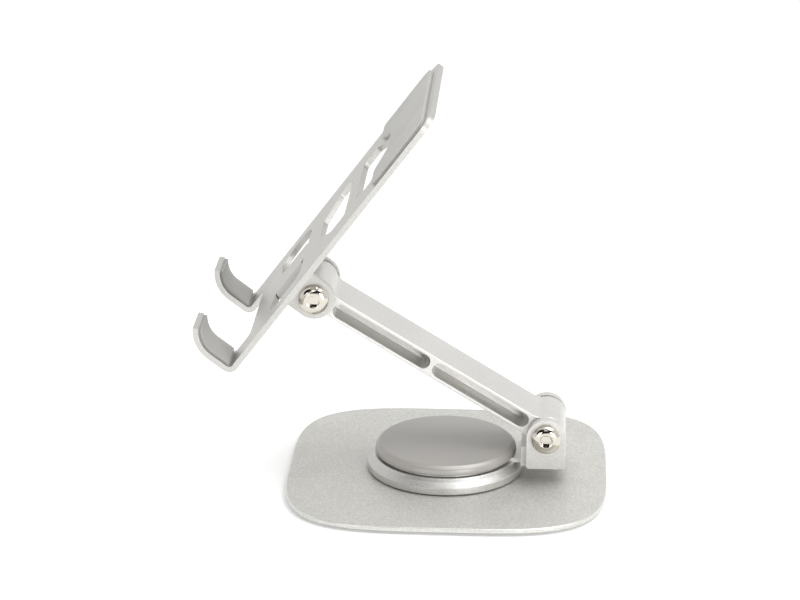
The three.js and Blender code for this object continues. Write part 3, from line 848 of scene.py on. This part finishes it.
def hook_layer(face, ends, depths, start, curl, corner):
    """One layer of a hook's lining, between two depths behind the hook's outer face.

    It runs from the start angle inside the bend to the curl angle, both in degrees, and its four
    corners are rounded.
    """
    outset, inset = depths
    bend_y, bend_z, curl_y = face + HOOK_BEND, SHEET_UNDERSIDE + HOOK_BEND, face + HOOK_CURL
    turn, tip = math.radians(start), math.radians(180 - curl)
    pen = Pen("YZ", bend_y + (HOOK_BEND - outset) * math.cos(turn),
              bend_z + (HOOK_BEND - outset) * math.sin(turn))
    pen.arc(bend_y, bend_z, -(180 + start), steps=4).line(face + outset, HOOK_RISE)
    pen.arc(curl_y, HOOK_RISE, -curl, steps=24)
    pen.line(curl_y + (HOOK_CURL - inset) * math.cos(tip),
             HOOK_RISE + (HOOK_CURL - inset) * math.sin(tip))
    pen.arc(curl_y, HOOK_RISE, curl, steps=24).line(face + inset, bend_z)
    pen.arc(bend_y, bend_z, 180 + start, steps=4)
    mesh = moved(thicken(pen.fill(), (ends[1] - ends[0], 0, 0)), (ends[0], 0, 0))
    thickness = (inset - outset) * MM
    upright = [edge for edge in mesh.edges
               if abs(edge.calc_length() - thickness) < 0.05 * MM and edge.is_convex
               and edge.calc_face_angle() > 1.0]
    bmesh.ops.bevel(mesh, geom=upright, offset=corner * MM, segments=5, profile=0.5, affect="EDGES",
                    material=-1)
    return mesh


def outline_slab(points, radii, bottom, top):
    """A flat outline of (x, y) corners in millimetres, each rounded by its radius, made thick."""
    pen = Pen("XY", *points[0])
    for point in points[1:]:
        pen.line(*point)
    mesh = pen.fill()
    corners = {radius: [] for radius in radii}
    for vert in mesh.verts:
        nearest = min(range(len(points)),
                      key=lambda i: (Vector((*points[i], 0)) * MM - vert.co).length)
        corners[radii[nearest]].append(vert)
    for radius, verts in corners.items():
        bmesh.ops.bevel(mesh, geom=verts, offset=radius * MM, segments=7, profile=0.5,
                        affect="VERTICES")
    return moved(thicken(mesh, (0, 0, top - bottom)), (0, 0, bottom))


def rear_pad_outline(low, high, inset):
    """The rear pad's corners, notched round the narrow end of the rear window."""
    clearance, window_half, slope = 4.0, 17.5, 15 / 20.5
    half, front, rear = high.x / MM - inset, low.y / MM + inset, high.y / MM - inset
    notch_rear = WINDOW_END + clearance + inset
    notch_half = window_half + clearance / 3 + inset
    front_half = notch_half + (notch_rear - front) / slope
    right = [(front_half, front), (half, front), (half, rear)]
    left = [(-x, y) for x, y in reversed(right)]
    return right + left + [(-notch_half, notch_rear), (notch_half, notch_rear)]


def local_box(node):
    """A platform node's lowest and highest corner, along the sheet and square to it."""
    back = PLATFORM_PLACE.inverted()
    places = [back @ vert.co for vert in frame["nodes"][node].data.vertices]
    return [Vector([choose(place[axis] for place in places) for axis in range(3)])
            for choose in (min, max)]


def dress_pad(name, node, tape, rubber, rubber_look):
    """Puts a round-edged pad of rubber on its dark tape, whose colour also paints the shade under the rim, in the
    platform's place.
    """
    rims = [edge for edge in rubber.edges
            if edge.is_manifold and edge.is_convex and edge.calc_face_angle() > math.radians(40)]
    bmesh.ops.bevel(rubber, geom=rims, offset=sizes().rubber_round, segments=3, profile=0.5,
                    affect="EDGES", material=-1)
    pad = piece_from(name, joined(marked(tape, 1), rubber), PLATFORM_PLACE)
    dress(pad, "platform", [node], [material(rubber_look), material(foam_tape)],
          angle=40)


class STAND_OT_platform(bpy.types.Operator):
    """Builds the bent sheet with its hooks and ears, and the rubber pads"""

    bl_idname = "stand.platform"
    bl_label = "Platform"

    def execute(self, context):
        sheet = merged_copy("platform", "bent_sheet")
        # The sheet's aluminium carries painted shade.
        dress(sheet, "platform", ["platform"],
              [material(sheet_aluminium), material(bright_edge)],
              rounding=sizes().sheet_edge, angle=40, edge_look=1)
        self.build_rear_pad()
        for side, node in ((1, "hook_pad_right"), (-1, "hook_pad_left")):
            self.build_hook_pad(f"hook_lining_{side}", node)
        return {"FINISHED"}

    def build_rear_pad(self):
        """The rear pad: the tape is set back at the edges and sunk a little into the sheet."""
        low, high = local_box("rear_pad")
        bottom, top, edge = low.z / MM, high.z / MM, 0.4
        tape = outline_slab(rear_pad_outline(low, high, edge), PAD_CORNERS, bottom - 0.25, bottom + 0.6)
        rubber = outline_slab(rear_pad_outline(low, high, 0.0), PAD_CORNERS, bottom + 0.55, top)
        dress_pad("rear_pad_rubber", "rear_pad", tape, rubber, grey_rubber)

    def build_hook_pad(self, name, node):
        """One hook's lining, from inside the bend to just short of the tip."""
        face = local_box("platform")[0].y / MM
        low, high = local_box(node)
        left, right, edge = low.x / MM, high.x / MM, 0.4
        tape = hook_layer(face, (left + edge, right - edge), (3.55, 4.4), start=-148, curl=57.2, corner=2.2)
        rubber = hook_layer(face, (left, right), (4.35, 5.8), start=-150, curl=57.5, corner=2.5)
        # The hook pads' rubber carries painted shade.
        dress_pad(name, node, tape, rubber, hook_rubber)


# ---------- stage ----------
def soft_light(name, location, target, size, power):
    """A rectangular white light that faces its target."""
    data = bpy.data.lights.new(name, "AREA")
    data.shape = "RECTANGLE"
    data.size, data.size_y = size
    data.energy = power
    lamp = link(name, data)
    lamp.location = location
    lamp.rotation_euler = (Vector(target) - Vector(location)).to_track_quat("-Z", "Y").to_euler()


# Black flags: the way from the stand to each one's middle, and its half width in degrees.
FLAGS = (((0.62, -0.55, 0.56), 22), ((0.80, 0.36, 0.48), 15), ((0.45, 0.10, 0.89), 13),
         ((0.93, -0.08, 0.30), 14))


def flag_shade(tree, view, direction, wide):
    """A value that is 1 away from a flag and nearly 0 on it, with a soft edge."""
    edge, darkest = 3, 0.02
    dot = tree.nodes.new("ShaderNodeVectorMath")
    dot.operation = "DOT_PRODUCT"
    dot.inputs[1].default_value = Vector(direction).normalized()
    tree.links.new(view, dot.inputs[0])
    fade = tree.nodes.new("ShaderNodeMapRange")
    for name, value in (("From Min", math.cos(math.radians(wide + edge))),
                        ("From Max", math.cos(math.radians(wide))),
                        ("To Min", 1.0), ("To Max", darkest)):
        fade.inputs[name].default_value = value
    tree.links.new(dot.outputs["Value"], fade.inputs["Value"])
    return fade.outputs["Result"]


def hang_flags(tree):
    """Hangs the flags in the white room, on the camera's side, for the chrome to reflect."""
    view = tree.nodes.new("ShaderNodeTexCoord").outputs["Generated"]
    shades = [flag_shade(tree, view, *flag) for flag in FLAGS]
    colour = shades[0]
    for shade in shades[1:]:
        both = tree.nodes.new("ShaderNodeMath")
        both.operation = "MULTIPLY"
        tree.links.new(colour, both.inputs[0])
        tree.links.new(shade, both.inputs[1])
        colour = both.outputs["Value"]
    tree.links.new(colour, tree.nodes["Background"].inputs["Color"])


def add_camera():
    """The camera at the right of the stand, a little above it, with a long lens."""
    azimuth, elevation = math.radians(93.42), math.radians(19.61)
    distance, focal_share = 1.7778, 3.444
    back = Vector((math.sin(azimuth) * math.cos(elevation), -math.cos(azimuth) * math.cos(elevation),
                   math.sin(elevation)))
    right = Vector((math.cos(azimuth), math.sin(azimuth), 0))
    up = back.cross(right)
    anchor = Vector((0, 0, 0.005))  # the middle of the turntable on the plate
    across, down = 0.0571, 0.2067  # from the view's middle to the anchor, as shares of its width
    data = bpy.data.cameras.new("camera")
    data.sensor_width = 36.0
    data.lens = data.sensor_width * focal_share
    camera = link("camera", data)
    camera.location = (anchor - right * (across * distance / focal_share)
                       + up * (down * distance / focal_share) + back * distance)
    camera.rotation_mode = "QUATERNION"
    camera.rotation_quaternion = Matrix((right, up, back)).transposed().to_quaternion()
    data.clip_start, data.clip_end = 0.01, 100.0
    bpy.context.scene.camera = camera


def add_floor():
    """A wide pale floor, faintly lit from below like a light table."""
    mesh = bmesh.new()
    bmesh.ops.create_grid(mesh, x_segments=1, y_segments=1, size=6.0)
    floor = piece_from("floor", mesh)
    floor.data.materials.append(Shader("pale_floor").finish(
        Base_Color=(0.92, 0.92, 0.92, 1), Roughness=0.9,
        Emission_Color=(1, 1, 1, 1), Emission_Strength=0.18))


def add_world():
    """The white room with its flags."""
    world = bpy.data.worlds.new("studio")
    world.use_nodes = True
    world.node_tree.nodes["Background"].inputs["Strength"].default_value = 0.95
    hang_flags(world.node_tree)
    bpy.context.scene.world = world


class STAND_OT_stage(bpy.types.Operator):
    """Adds the pale floor, the soft studio light and the camera"""

    bl_idname = "stand.stage"
    bl_label = "Stage"

    def execute(self, context):
        add_floor()
        add_world()
        soft_light("overhead", (0.2, 0.5, 1.5), (0, 0, 0.1), (1.2, 1.2), 14.0)
        soft_light("front_left", (1.5, -0.75, 0.35), (0, 0, 0.12), (0.6, 0.7), 3.6)
        soft_light("front_right", (1.5, 0.85, 0.35), (0, 0, 0.12), (0.6, 0.7), 10.5)
        add_camera()
        context.scene.view_settings.view_transform = "Standard"
        return {"FINISHED"}


# ---------- panel and registration ----------
class STAND_PT_panel(bpy.types.Panel):
    """Sizes, colours and build steps of the laptop stand"""

    bl_idname = "STAND_PT_panel"
    bl_label = "Laptop Stand"
    bl_space_type = "VIEW_3D"
    bl_region_type = "UI"
    bl_category = "Laptop Stand"

    def draw(self, context):
        for group in (context.scene.stand_sizes, context.scene.stand_colours):
            for name in group.__annotations__:
                self.layout.prop(group, name)
        for step in STEPS:
            self.layout.operator(step.bl_idname)


STEPS = (STAND_OT_base, STAND_OT_turntable, STAND_OT_hinges, STAND_OT_arm, STAND_OT_platform,
         STAND_OT_stage)
CLASSES = (StandSizes, StandColours, *STEPS, STAND_PT_panel)


def register():
    """Registers the settings, operators and panel, and puts the settings on the scene."""
    for cls in CLASSES:
        bpy.utils.register_class(cls)
    bpy.types.Scene.stand_sizes = PointerProperty(type=StandSizes)
    bpy.types.Scene.stand_colours = PointerProperty(type=StandColours)


def unregister():
    """Takes back everything that register did."""
    del bpy.types.Scene.stand_colours
    del bpy.types.Scene.stand_sizes
    for cls in reversed(CLASSES):
        bpy.utils.unregister_class(cls)


def main():
    """Builds the stand step by step."""
    register()
    bpy.ops.stand.base()
    bpy.ops.stand.turntable()
    bpy.ops.stand.hinges()
    bpy.ops.stand.arm()
    bpy.ops.stand.platform()
    bpy.ops.stand.stage()


if __name__ == "__main__":
    main()
